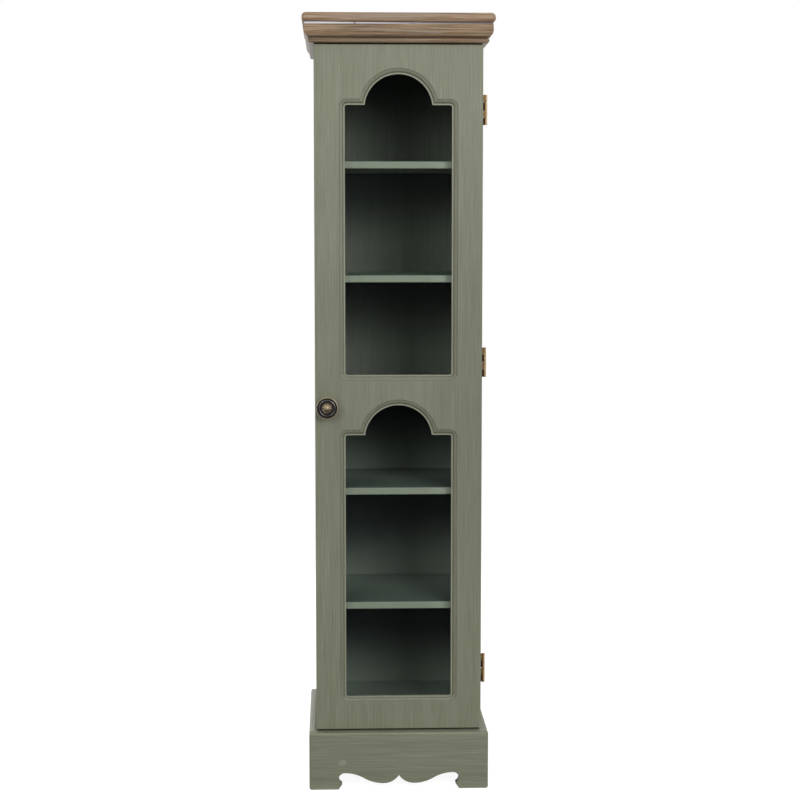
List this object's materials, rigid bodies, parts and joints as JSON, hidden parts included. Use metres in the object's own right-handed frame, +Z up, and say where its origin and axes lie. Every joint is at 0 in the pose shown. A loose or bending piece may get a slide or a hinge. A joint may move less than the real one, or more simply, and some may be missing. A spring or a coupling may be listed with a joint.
{
  "type": "display cabinet",
  "caption": "Slim upright display cabinet with a hinged door of arched glass panes, fixed shelves behind it, a scroll-cut bracket plinth and a moulded wooden cornice.",
  "frame": {"origin": "on the floor under the middle of the whole cabinet, knob included", "axes": "+X to the viewer's right, the door faces -Y, +Z up"},
  "size_m": [0.3186, 0.3096, 1.302],
  "materials": {
    "sage_paint": "sage green paint, brushed",
    "shelf_paint": "green paint",
    "back_board": "thin board, painted inside",
    "bare_wood": "unpainted softwood",
    "weathered_wood": "weathered brown, waxed",
    "pale_paint": "pale grey paint",
    "brass": "aged brass",
    "steel": "plain",
    "catch_plastic": "brown",
    "magnet": "dark ferrite",
    "glass": "clear"
  },
  "bodies": {
    "carcass": {"back_panel": "back_board", "back_panel_pins": "steel", "bottom_panel": "sage_paint", "catch_housing": "catch_plastic", "catch_magnet": "magnet", "catch_pole_plates": "steel", "catch_screws": "steel", "cornice_back": "bare_wood", "cornice_cap": "weathered_wood", "cornice_front": "weathered_wood", "cornice_left": "weathered_wood", "cornice_right": "weathered_wood", "cornice_screws": "steel", "cornice_spacer": "pale_paint", "foot_blocks": "bare_wood", "hinge_carcass_screws": "brass", "hinge_lower_carcass_leaf": "brass", "hinge_lower_pin": "brass", "hinge_middle_carcass_leaf": "brass", "hinge_middle_pin": "brass", "hinge_upper_carcass_leaf": "brass", "hinge_upper_pin": "brass", "plinth_back": "bare_wood", "plinth_cleat_front": "sage_paint", "plinth_cleat_left": "bare_wood", "plinth_cleat_right": "bare_wood", "plinth_front": "sage_paint", "plinth_left": "sage_paint", "plinth_right": "sage_paint", "plinth_screws": "steel", "shelf_1": "shelf_paint", "shelf_2": "shelf_paint", "shelf_3": "shelf_paint", "shelf_4": "shelf_paint", "shelf_5": "shelf_paint", "side_panel_left": "sage_paint", "side_panel_right": "sage_paint", "top_panel": "sage_paint"},
    "door": {"door_panel": "sage_paint", "glass_lower": "glass", "glass_upper": "glass", "glazing_bead_lower_bottom": "sage_paint", "glazing_bead_lower_left": "sage_paint", "glazing_bead_lower_right": "sage_paint", "glazing_bead_lower_top": "sage_paint", "glazing_bead_upper_bottom": "sage_paint", "glazing_bead_upper_left": "sage_paint", "glazing_bead_upper_right": "sage_paint", "glazing_bead_upper_top": "sage_paint", "hinge_door_screws": "brass", "hinge_lower_door_leaf": "brass", "hinge_middle_door_leaf": "brass", "hinge_upper_door_leaf": "brass", "knob": "brass", "knob_screw": "steel", "knob_washer": "steel", "strike_plate": "steel", "strike_screws": "steel"}
  },
  "joints": [
    {"name": "door_hinge", "type": "hinge", "parent": "carcass", "child": "door", "pos_m": [0.1456, -0.108, 0.67675], "axis": [0, 0, 1], "range_deg": [0, 180]}
  ]
}
